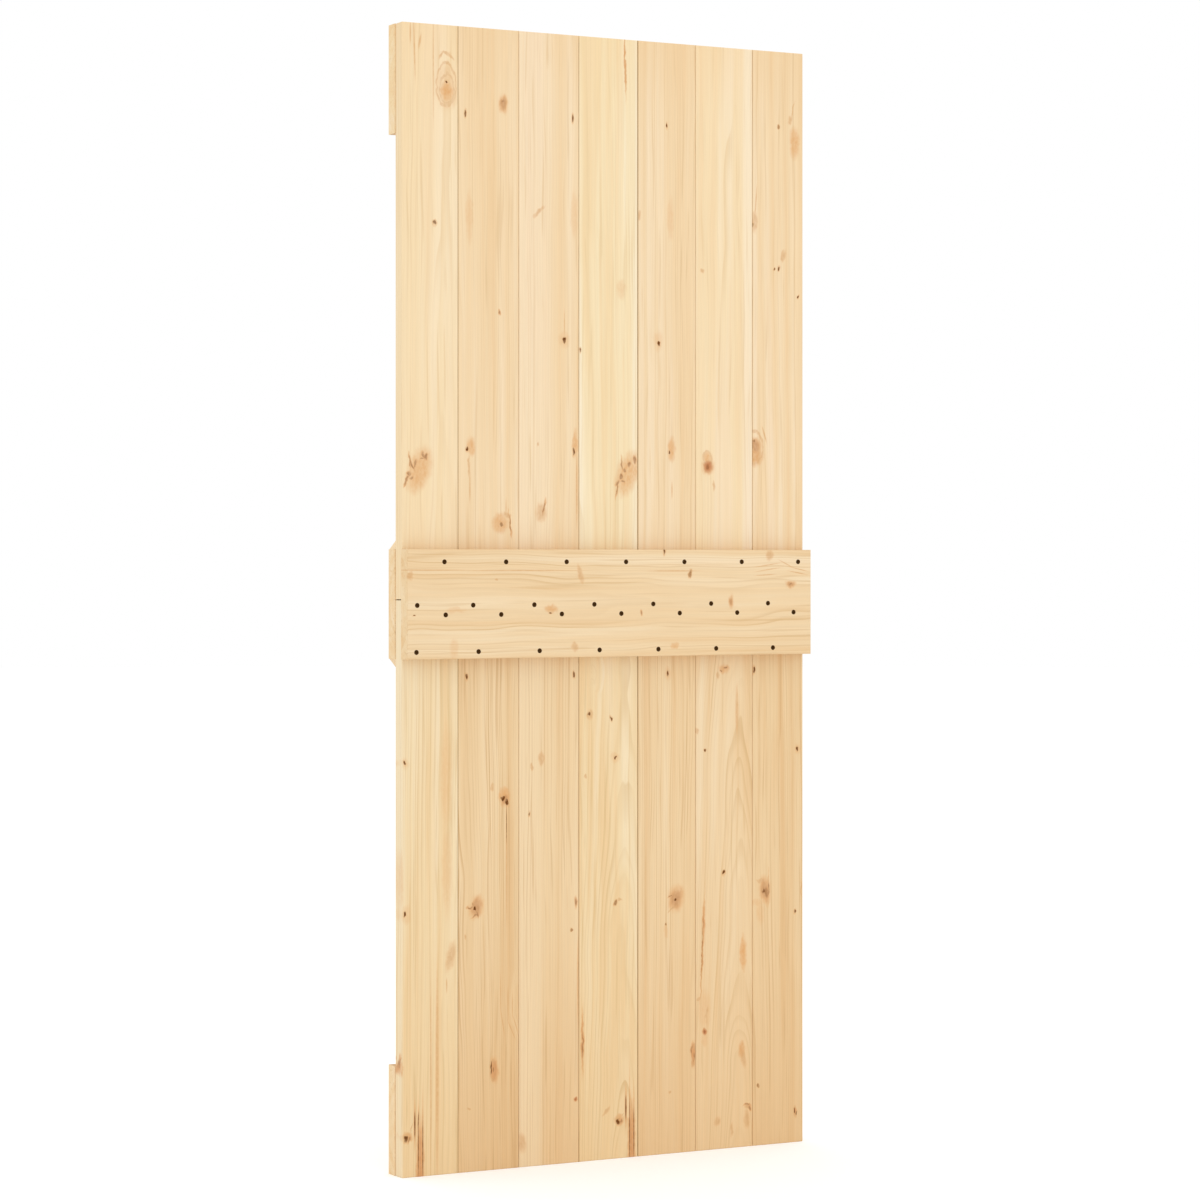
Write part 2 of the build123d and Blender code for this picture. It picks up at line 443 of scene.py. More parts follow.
class PineWood:
    """The shader group of sawn pine.

    Growth rings run round a pith. Bands, fibres, marks, painted shade and dust on the joint chamfers, sawn
    edges darkened partly as painted shade, and end grain lie over them.
    """

    NAME = "sawn_pine"
    STAIN = srgb(229, 174, 116)
    BLUSH = srgb(194, 120, 74)
    HEART = srgb(112, 64, 16)
    PINK = srgb(246, 216, 184)
    # The next colour is painted shade and dust on the chamfers in the joints between boards.
    JOINT_SHADE_AND_DUST = srgb(190, 158, 110)
    # The next colour darkens sawn long edges, partly as their own tone and partly as painted shade, so they
    # give back less light into the creases beside the rails.
    SAWN_EDGE_SHADE = srgb(205, 166, 118)
    END_GRAIN = srgb(255, 253, 248)
    SEED_SHIFT = (7.31, 3.17, 5.73)
    SWAY_REACH = (0.014, 0.014, 0.0)
    TREMBLE_REACH = 5.0 * MM
    YEAR_PACE = 60.0
    YEAR_REACH = 2.4
    BAND_PACE = 80.0
    BAND_SHIFT = 2.7
    BROAD_SHARE = 0.40
    NARROW_SHARE = 0.32
    BAND_SHARE = 0.28
    VIGOUR = (0.1, 1.0, 0.2, 1.0)
    LATE_RISES = (0.45, 0.92)
    LATE_FALLS = (1.0, 0.94)
    LATE_FADES = (0.36, 0.62, 0.25, 1.0)
    TURNS_PALE = (0.51, 0.38, 0.0, 0.9)
    TURNS_WARM = (0.49, 0.63)
    TURNS_PINK = (0.48, 0.70, 0.0, 0.2)
    STREAKED = (0.58, 0.76, 0.0, 0.45)
    STAIN_MOTTLE = (0.25, 0.75, 0.7, 1.05)
    HEART_MOTTLE = (0.2, 0.7, 0.55, 1.15)
    FACES_END = (0.6, 0.9)
    FACES_SIDE = (0.9, 0.97)
    ON_CHAMFER = (0.58, 0.68)
    OFF_CHAMFER = (0.82, 0.74)
    DULL = 0.60

    def __init__(self, tree: bpy.types.NodeTree) -> None:
        """Open the group's inputs and find the plank's own place in the noise.

        Args:
            tree: the group's node tree, with its sockets.
        """
        self.bench = NodeBench(tree)
        self.given = {socket.name: socket for socket in self.bench.add("NodeGroupInput").outputs}
        shift = self.bench.vector("MULTIPLY", self.given["Seed"], self.SEED_SHIFT)
        self.place = self.bench.vector("ADD", self.given["Place"], shift)

    @classmethod
    def tree(cls) -> bpy.types.NodeTree:
        """Build the group once and return it.

        Returns:
            The group's node tree.
        """
        found = bpy.data.node_groups.get(cls.NAME)
        if found:
            return found
        tree = bpy.data.node_groups.new(cls.NAME, "ShaderNodeTree")
        sockets = {
            "NodeSocketVector": ("Place", "Facing", "Pith"),
            "NodeSocketFloat": (
                "Seed", "Ring", "Wander", "Wave", "Contrast", "Banding", "End Warmth And Shade", "Warmth And Shade From", "Warmth And Shade To",
                "Left Joint Shade And Dust", "Right Joint Shade And Dust", "Sawn Edge Shade", *(channel.value for channel in Channel),
            ),
            "NodeSocketColor": ("Pale", "Body", "Warm", "Late"),
        }
        for kind, names in sockets.items():
            for name in names:
                tree.interface.new_socket(name, in_out="INPUT", socket_type=kind)
        for name, kind in (("Color", "Color"), ("Roughness", "Float"), ("Height", "Float")):
            tree.interface.new_socket(name, in_out="OUTPUT", socket_type="NodeSocket" + kind)
        cls(tree)._grow()
        return tree

    def _grow(self) -> None:
        """Make the wood's colour, roughness and height from its parts."""
        bench, given = self.bench, self.given
        made = bench.add("NodeGroupOutput").inputs
        turned = bench.parts(bench.vector("ABSOLUTE", given["Facing"]))
        end = bench.span(turned["Z"], *self.FACES_END)
        radius = self._radius()
        late = self._late_wood(radius, end)
        wood, fibre = self._colour(radius, late)
        wood, heart = self._marks(wood)
        # Painted shade and dust on the chamfers along the joints.
        wood = self._joint_shade_and_dust(wood)
        # Sawn long edges are darkened, partly their own tone and partly painted shade that dims the creases
        # beside the rails.
        edge = bench.math("MULTIPLY", bench.span(turned["X"], *self.FACES_SIDE), given["Sawn Edge Shade"])
        wood = bench.blend(edge, wood, self.SAWN_EDGE_SHADE)
        bench.feed(made["Color"], bench.blend(end, wood, self.END_GRAIN, "MULTIPLY"))

        dull = bench.math("MULTIPLY_ADD", late, -0.08, self.DULL)
        dull = bench.math("MULTIPLY_ADD", bench.math("SUBTRACT", fibre, 0.5), 0.16, dull)
        dull = bench.math("MULTIPLY_ADD", heart, -0.10, dull)
        bench.feed(made["Roughness"], bench.math("MULTIPLY_ADD", end, 0.12, dull))
        bench.feed(made["Height"], fibre)

    def _fac(self, grain: Grain, detail: float = 1.0) -> Link:
        """Read one of the wood's noises at the plank's own place."""
        return self.bench.noise(self.place, grain.value, detail).outputs["Fac"]

    def _radius(self) -> Link:
        """Find the distance from the wandering pith, lifted round the knots.

        Returns:
            The distance's socket.
        """
        bench, given = self.bench, self.given
        slow = bench.add("SeparateColor")
        bench.feed(slow.inputs[0], bench.noise(self.place, Grain.STRAY.value).outputs["Color"])
        at = bench.parts(given["Place"])
        pith = bench.parts(given["Pith"])
        stray = [
            bench.math("MULTIPLY", bench.math("SUBTRACT", channel, 0.5), given["Wander"])
            for channel in slow.outputs[:2]
        ]
        beside = bench.math("ADD", bench.math("SUBTRACT", at["X"], pith["X"]), stray[0])
        pith_depth = bench.math("MULTIPLY_ADD", at["Z"], pith["Z"], pith["Y"])
        behind = bench.math("ADD", bench.math("SUBTRACT", at["Y"], pith_depth), stray[1])
        square = bench.math("MULTIPLY_ADD", beside, beside, bench.math("MULTIPLY", behind, behind))
        radius = bench.math("SQRT", square)
        for grain, reach in ((Grain.TREMBLE, self.TREMBLE_REACH), (Grain.SWELL, given["Wave"])):
            radius = bench.math("MULTIPLY_ADD", bench.math("SUBTRACT", self._fac(grain), 0.5), reach, radius)
        return bench.math("ADD", radius, given["Lift"])

    def _by_radius(self, radius: Link, pace: float, start: Link, detail: float) -> Link:
        """Read noise that changes only with the distance from the pith.

        Args:
            radius: the distance.
            pace: how fast the noise changes, per metre.
            start: where it begins.
            detail: its octaves.

        Returns:
            The noise's socket.
        """
        node = self.bench.add("TexNoise", noise_dimensions="1D")
        self.bench.feed(node.inputs["W"], self.bench.math("MULTIPLY_ADD", radius, pace, start))
        node.inputs["Scale"].default_value = 1.0
        node.inputs["Detail"].default_value = detail
        return node.outputs["Fac"]

    def _late_wood(self, radius: Link, end: Link) -> Link:
        """Draw the late wood of each year, some years faint and some strong, fading along the plank.

        Args:
            radius: the distance from the pith.
            end: where the end grain is.

        Returns:
            How strongly late wood shows.
        """
        bench, given = self.bench, self.given
        pace = self._by_radius(radius, self.YEAR_PACE, given["Seed"], 1.0)
        years = bench.math("DIVIDE", radius, given["Ring"])
        years = bench.math("MULTIPLY_ADD", pace, self.YEAR_REACH, years)
        season = bench.math("FRACT", years)
        vigour = bench.add("TexWhiteNoise", noise_dimensions="1D")
        bench.feed(vigour.inputs["W"], bench.math("ADD", bench.math("FLOOR", years), given["Seed"]))
        strength = bench.span(vigour.outputs["Value"], *self.VIGOUR)
        rise, fall = bench.span(season, *self.LATE_RISES), bench.span(season, *self.LATE_FALLS)
        line = bench.math("MULTIPLY", rise, fall)
        shown = bench.math("MULTIPLY", given["Contrast"], bench.math("MULTIPLY_ADD", end, -0.5, 1.0))
        fade = bench.span(self._fac(Grain.FADE), *self.LATE_FADES)
        strength = bench.math("MULTIPLY", strength, fade)
        return bench.math("MULTIPLY", bench.math("MULTIPLY", line, strength), shown, clamp=True)

    def _colour(self, radius: Link, late: Link) -> tuple[Link, Link]:
        """Colour the clear wood.

        Args:
            radius: the distance from the pith.
            late: how strongly late wood shows.

        Returns:
            The wood's colour, and the fibres as a number about one half.
        """
        bench, given = self.bench, self.given
        shift = bench.math("MULTIPLY", given["Seed"], self.BAND_SHIFT)
        band = bench.math("MULTIPLY", self._by_radius(radius, self.BAND_PACE, shift, 2.0), self.BAND_SHARE)
        swayed = bench.jostle(self.place, Grain.SWAY.value, self.SWAY_REACH)
        broad, narrow, pink, streak, fibre = (
            bench.noise(swayed, grain.value).outputs["Fac"]
            for grain in (Grain.BROAD, Grain.NARROW, Grain.PINK, Grain.STREAK, Grain.FIBRE)
        )
        bands = bench.math("MULTIPLY_ADD", broad, self.BROAD_SHARE, band)
        bands = bench.math("MULTIPLY_ADD", narrow, self.NARROW_SHARE, bands)
        bands = bench.math("MULTIPLY_ADD", bench.math("SUBTRACT", bands, 0.5), given["Banding"], 0.5)
        wood = bench.blend(bench.span(bands, *self.TURNS_PALE), given["Body"], given["Pale"])
        # Painted shade, partly a warmer tone: the warm colour grows towards one end of the board, so it is
        # darker there.
        end_warmth_and_shade = bench.span(bench.parts(given["Place"])["Z"], given["Warmth And Shade From"], given["Warmth And Shade To"])
        end_warmth_and_shade = bench.math("MULTIPLY", end_warmth_and_shade, given["End Warmth And Shade"])
        warm = bench.math("ADD", bench.span(bands, *self.TURNS_WARM), end_warmth_and_shade, clamp=True)
        wood = bench.blend(warm, wood, given["Warm"])
        wood = bench.blend(given["Pale Share"], wood, given["Pale"])
        pinker = bench.blend(1.0, wood, self.PINK, "DARKEN")
        wood = bench.blend(bench.span(pink, *self.TURNS_PINK), wood, pinker)
        wood = bench.blend(late, wood, given["Late"])
        wood = bench.blend(bench.span(streak, *self.STREAKED), wood, given["Late"])
        shade = bench.math("MULTIPLY_ADD", fibre, 0.10, 0.95)
        grey = bench.add("CombineColor")
        for socket in grey.inputs:
            bench.feed(socket, shade)
        return bench.blend(1.0, wood, grey.outputs[0], "MULTIPLY"), fibre

    def _marks(self, wood: Link) -> tuple[Link, Link]:
        """Lay the stain, blush and heart of the plank's marks over its clear wood.

        Args:
            wood: the clear wood's colour.

        Returns:
            The colour with its marks, and how dark a heart is there.
        """
        bench, given = self.bench, self.given
        mottle = self._fac(Grain.MOTTLE, 2.0)
        stain = bench.math("MULTIPLY", given["Stain"], bench.span(mottle, *self.STAIN_MOTTLE), clamp=True)
        wood = bench.blend(stain, wood, self.STAIN)
        wood = bench.blend(given["Blush"], wood, self.BLUSH)
        heart = bench.math("MULTIPLY", given["Heart"], bench.span(mottle, *self.HEART_MOTTLE), clamp=True)
        return bench.blend(heart, wood, self.HEART), heart

    def _joint_shade_and_dust(self, wood: Link) -> Link:
        """Darken the chamfers along the plank's left and right joints with painted shade and dust.

        Args:
            wood: the wood's colour.

        Returns:
            The colour with its darkened chamfers.
        """
        bench = self.bench
        beside = bench.parts(self.given["Facing"])["X"]
        for name, side in (("Left Joint Shade And Dust", -1.0), ("Right Joint Shade And Dust", 1.0)):
            tilt = bench.math("MULTIPLY", beside, side)
            on, off = bench.span(tilt, *self.ON_CHAMFER), bench.span(tilt, *self.OFF_CHAMFER)
            chamfer = bench.math("MULTIPLY", on, off)
            wood = bench.blend(bench.math("MULTIPLY", chamfer, self.given[name]), wood, self.JOINT_SHADE_AND_DUST)
        return wood


class End(Enum):
    """The ends of a board: where its warmer tone and painted shade begin and where they are strongest.

    Both are in metres over the board's middle.
    """

    FOOT = (0.15, -0.60)
    HEAD = (0.34, 0.58)


@dataclass(frozen=True)
class PineFinish:
    """The finish of one plank.

    Attributes:
        tone: the plank's tone.
        growth: how it sits in its log.
        marks: the places of its marks by their kind, each in the order of a Mark's fields.
        end_warmth_and_shade: how much warmer and darker one of its ends is, partly its own tone and partly
            painted shade.
        warm_shaded_end: which end that is.
        joint_shade_and_dust: how dark the chamfers along its left and right joints are, as painted shade and
            dust.
        sawn_edge_shade: how dark its sawn long edges are, partly their own tone and partly painted shade.
        bump: how far the grain stands up, in millimetres.
    """

    tone: Tone
    growth: Growth
    marks: Mapping[Kind, Sequence[tuple[float, ...]]]
    end_warmth_and_shade: float = 0.0
    warm_shaded_end: End = End.FOOT
    joint_shade_and_dust: tuple[float, float] = (0.0, 0.0)
    sawn_edge_shade: float = 0.0
    bump: float = 0.4

    BUMP_STRENGTH = 0.35
    GLOSS = 0.12

    @property
    def mark_count(self) -> int:
        """How many marks the plank has."""
        return sum(map(len, self.marks.values()))

    def material(self, name: str, centre: Vector, grain: float) -> bpy.types.Material:
        """Make the plank's material.

        Args:
            name: the material's name.
            centre: the middle of the plank.
            grain: the angle of the grain over the leaf's width, in radians.

        Returns:
            The material.
        """
        material = bpy.data.materials.new(name)
        bench = NodeBench.of(material)
        turn = grain - pi / 2
        place = self._turned(bench, "Object", "POINT", turn, -self._in_plank(centre, turn))
        facing = self._turned(bench, "Normal", "NORMAL", turn, Vector())
        marks = MarkField(bench)
        for kind, places in self.marks.items():
            for mark_place in places:
                marks.add(Mark(kind, *mark_place))

        wood = bench.add("Group", node_tree=PineWood.tree())
        pale, body, warm, late = self.tone.value
        growth = self.growth
        settings = {
            "Place": place, "Facing": facing, "Seed": growth.seed, "Ring": growth.ring * MM,
            "Pith": (growth.pith[0] * MM, growth.pith[1] * MM, growth.rise * MM),
            "Wander": growth.wander * MM, "Wave": growth.wave * MM, "Contrast": growth.contrast,
            "Banding": growth.banding,
            "End Warmth And Shade": self.end_warmth_and_shade, "Warmth And Shade From": self.warm_shaded_end.value[0], "Warmth And Shade To": self.warm_shaded_end.value[1],
            "Left Joint Shade And Dust": self.joint_shade_and_dust[0], "Right Joint Shade And Dust": self.joint_shade_and_dust[1], "Sawn Edge Shade": self.sawn_edge_shade,
            "Pale": pale, "Body": body, "Warm": warm, "Late": late,
            **{channel.value: total for channel, total in marks.sums.items()},
        }
        for socket, value in settings.items():
            bench.feed(wood.inputs[socket], value)
        bench.skin(wood.outputs["Height"], self.BUMP_STRENGTH, self.bump * MM, {
            "Base Color": wood.outputs["Color"], "Roughness": wood.outputs["Roughness"],
            "Specular IOR Level": self.GLOSS,
        })
        return material

    @staticmethod
    def _in_plank(point: Vector, turn: float) -> Vector:
        """Turn a point of the leaf so that Z runs along a plank's grain."""
        return Vector((
            point.x * cos(turn) + point.z * sin(turn),
            point.y,
            point.z * cos(turn) - point.x * sin(turn),
        ))

    @staticmethod
    def _turned(bench: NodeBench, source: str, kind: str, turn: float, shift: Vector) -> Link:
        """Read the surface's place or normal in the plank's own frame.

        Args:
            bench: where the nodes go.
            source: the Texture Coordinate output.
            kind: how the Mapping node treats it.
            turn: the turn about the leaf's thickness.
            shift: what is added after the turn.

        Returns:
            The turned vector's socket.
        """
        mapping = bench.add("Mapping", vector_type=kind)
        bench.feed(mapping.inputs["Vector"], bench.add("TexCoord").outputs[source])
        mapping.inputs["Rotation"].default_value = (0.0, turn, 0.0)
        if kind == "POINT":
            mapping.inputs["Location"].default_value = shift
        return mapping.outputs["Vector"]


@dataclass(frozen=True)
class SteelFinish:
    """Dark phosphate coat on the screws.

    Attributes:
        coat: the coat's colour.
        rubbed: its colour where it is rubbed.
        bump: how far its grit stands up, in millimetres.
    """

    coat: Colour = srgb(62, 38, 8)
    rubbed: Colour = srgb(104, 72, 30)
    bump: float = 0.05

    CLOUD = (900.0, 900.0, 900.0)
    GRIT = (6000.0, 6000.0, 6000.0)

    def material(self, name: str) -> bpy.types.Material:
        """Make the screws' material.

        Args:
            name: the material's name.

        Returns:
            The material.
        """
        material = bpy.data.materials.new(name)
        bench = NodeBench.of(material)
        place = bench.add("TexCoord").outputs["Object"]
        cloud = bench.noise(place, self.CLOUD, 3.0).outputs["Fac"]
        grit = bench.noise(place, self.GRIT, 2.0).outputs["Fac"]
        bench.skin(grit, 0.25, self.bump * MM, {
            "Base Color": bench.blend(bench.span(cloud, 0.5, 0.8), self.coat, self.rubbed),
            "Roughness": bench.span(cloud, 0.3, 0.8, 0.55, 0.38),
            "Metallic": 0.1,
            "Specular IOR Level": 0.08,
        })
        return material


def dress(node: str, finish: PineFinish, grain: float) -> None:
    """Give a packed plank its finish in place of its plain material.

    Args:
        node: the plank's node.
        finish: its finish.
        grain: the angle of its grain over the leaf's width, in radians.
    """
    low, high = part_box(node)
    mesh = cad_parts[node].data
    mesh.materials.clear()
    mesh.materials.append(finish.material(f"pine_{node}", (low + high) / 2, grain))
    LOG.info("%s: pine, %d marks", node, finish.mark_count)


@dataclass
class Planks:
    """A set of like planks with one grain direction.

    Attributes:
        grain: the angle of the grain over the leaf's width, in degrees.
        finishes: each plank's finish by its node's name.
    """

    grain: float
    finishes: dict[str, PineFinish]

    def dress(self) -> None:
        """Finish every plank of the set."""
        for node, finish in self.finishes.items():
            dress(node, finish, radians(self.grain))


# The upper boards' heads are warmer and darker, partly painted shade.
UPPER_BOARDS = Planks(90.0, {
    "upper_board_1": PineFinish(Tone.SHELL, Growth(41.0, (25, 60), 10, 6.0, 0.45, 0.4), {
        Kind.STREAK: [
            (17, 2081, 1.5, 17), (25, 2053, 1.5, 48, -2), (36, 2067, 2, 12, 10), (63, 2016, 1, 85),
        ],
        Kind.SMUDGE: [(89, 2050, 9, 3), (79, 2045, 2, 8, 40), (99, 2045, 2, 8, -40)],
        Kind.RING: [(89, 1990, 19, 40), (90, 1983, 14, 27)],
        Kind.TINT: [(90, 1986, 17, 32), (98, 1966, 10, 14), (26, 1284, 12, 24, 30)],
        Kind.PATCH: [(90, 1980, 13, 20), (35, 1286, 20, 37, 20)],
        Kind.RESIN: [(90, 1981, 12, 14)],
        Kind.PIN: [(90, 1996, 2, 2), (66, 1737, 3, 4)],
        Kind.FLECK: [
            (43, 1314, 1.6, 5, -25), (48, 1310, 1.8, 4, 15), (41, 1308, 3.5, 1.3),
            (16, 1303, 1.2, 8, -5), (21, 1295, 1.5, 6.5, -30), (27, 1298, 1.5, 5, 20), (14, 1280, 3, 3),
            (19, 1271, 3, 2.2), (10, 1268, 1.5, 8, 25),
        ],
    }, 0.5, End.HEAD, (0.0, 0.87)),
    "upper_board_2": PineFinish(Tone.CREAM, Growth(2.0, (-75, 45), 6, 3.2, 0.5, 0.55), {
        Kind.PIN: [(128, 1942, 1.8, 5.5), (132, 1326, 2.6, 5)],
        Kind.KNOT: [(205, 1964, 8, 14)],
        Kind.FLECK: [(204, 1968, 2, 3), (198, 1579, 1.6, 3), (219, 1190, 1, 14, -8)],
        Kind.TINT: [(136, 1752, 6, 36)],
        Kind.PATCH: [(139, 1331, 8, 15), (199, 1190, 15, 15)],
        Kind.SMUDGE: [(135, 1294, 2.5, 16), (213, 1205, 7, 5)],
        Kind.STREAK: [(137, 1257, 1.3, 26), (211, 1215, 1, 18)],
        Kind.SPOT: [(202, 1189, 3.4, 3.4)],
    }, 0.5, End.HEAD, (0.87, 0.0)),
    "upper_board_3": PineFinish(Tone.CREAM, Growth(3.0, (80, 50), 6, 5.0, 0.45, 0.6), {
        Kind.BAND: [(258, 1520, 38, 2000)],
        Kind.PIN: [(349, 1945, 1.5, 6), (332, 1531, 3.3, 4.3), (352, 1324, 2.6, 6)],
        Kind.SMUDGE: [(279, 1768, 3, 14, 48), (276, 1338, 1.6, 3), (284, 1211, 10, 15)],
        Kind.TINT: [(353, 1766, 6, 34), (332, 1533, 9, 12)],
        Kind.STREAK: [(332, 1560, 1, 24), (358, 1254, 1.8, 62)],
        Kind.PATCH: [(355, 1340, 5.5, 22)],
        Kind.FLECK: [(289, 1219, 1.5, 8, 15)],
    }, 0.5, End.HEAD, (0.0, 0.2)),
    "upper_board_4": PineFinish(Tone.LEMON, Growth(4.0, (-70, 60), 8, 5.5, 0.45, 1.0), {
        Kind.AMBER: [(460, 2056, 1.5, 48, -2)],
        Kind.PIN: [(365, 1513, 2, 3.5)],
        Kind.TINT: [(452, 1630, 8, 14), (462, 1282, 12, 26, 30)],
        Kind.PATCH: [(466, 1285, 20, 38, 22)],
        Kind.FLECK: [
            (481, 1312, 2, 5, -15), (469, 1302, 2.4, 3.4), (454, 1302, 1.2, 9, -8), (459, 1291, 2, 2.2),
            (452, 1278, 3, 3.6), (455, 1270, 4, 1.8), (444, 1269, 1.6, 5, 30), (443, 1256, 0.9, 11, 8),
        ],
    }, 0.5, End.HEAD, (0.2, 0.75)),
    "upper_board_5": PineFinish(Tone.CREAM, Growth(5.0, (75, 45), 5, 3.2, 0.5, 0.7), {
        Kind.PIN: [(550, 1944, 1.5, 5.5), (532, 1531, 3.6, 4.3), (555, 1327, 2.3, 4.3)],
        Kind.SMUDGE: [(491, 1770, 2.4, 8)],
        Kind.TINT: [(558, 1768, 6, 30), (532, 1537, 8, 15)],
        Kind.PATCH: [(560, 1331, 7.5, 20)],
        Kind.STREAK: [(561, 1255, 1.3, 14)],
    }, 0.5, End.HEAD, (0.75, 0.0)),
    "upper_board_6": PineFinish(Tone.SHELL, Growth(6.0, (15, 60), 12, 6.0, 0.45, 0.6), {
        Kind.SMUDGE: [(627, 1672, 4.5, 5), (652, 1264, 2.2, 9)],
        Kind.RED: [(639, 1300, 9.5, 10)],
        Kind.RING: [(639, 1316, 9, 14)],
        Kind.PATCH: [(639, 1317, 9, 13)],
        Kind.BAND: [(728, 1520, 10, 2000)],
    }, 0.5, End.HEAD, (0.0, 0.2)),
    "upper_board_7": PineFinish(Tone.CREAM, Growth(7.0, (-65, 50), 8, 4.0, 0.5, 0.7), {
        Kind.SPOT: [(795, 1956, 2.8, 4.4), (738, 1765, 2.4, 4), (741, 1350, 3, 3)],
        Kind.SMUDGE: [
            (828, 1990, 1.6, 15, 12), (822, 1971, 4, 8, 10), (742, 1770, 6, 16), (806, 1708, 5, 11, 15),
        ],
        Kind.PATCH: [(831, 1927, 10, 26)],
        Kind.STREAK: [(745, 1808, 1.3, 28, 4), (764, 1363, 1.5, 15, -18)],
        Kind.PIN: [(796, 1684, 2.4, 3.2), (786, 1681, 1.4, 2.3), (840, 1630, 1.8, 3.6)],
        Kind.KNOT: [(743, 1342, 13, 13)],
        Kind.RING: [(744, 1342, 7, 7), (741, 1338, 20, 31)],
        Kind.TAN: [(744, 1321, 15, 16)],
    }, 0.5, End.HEAD, (0.2, 0.0)),
})
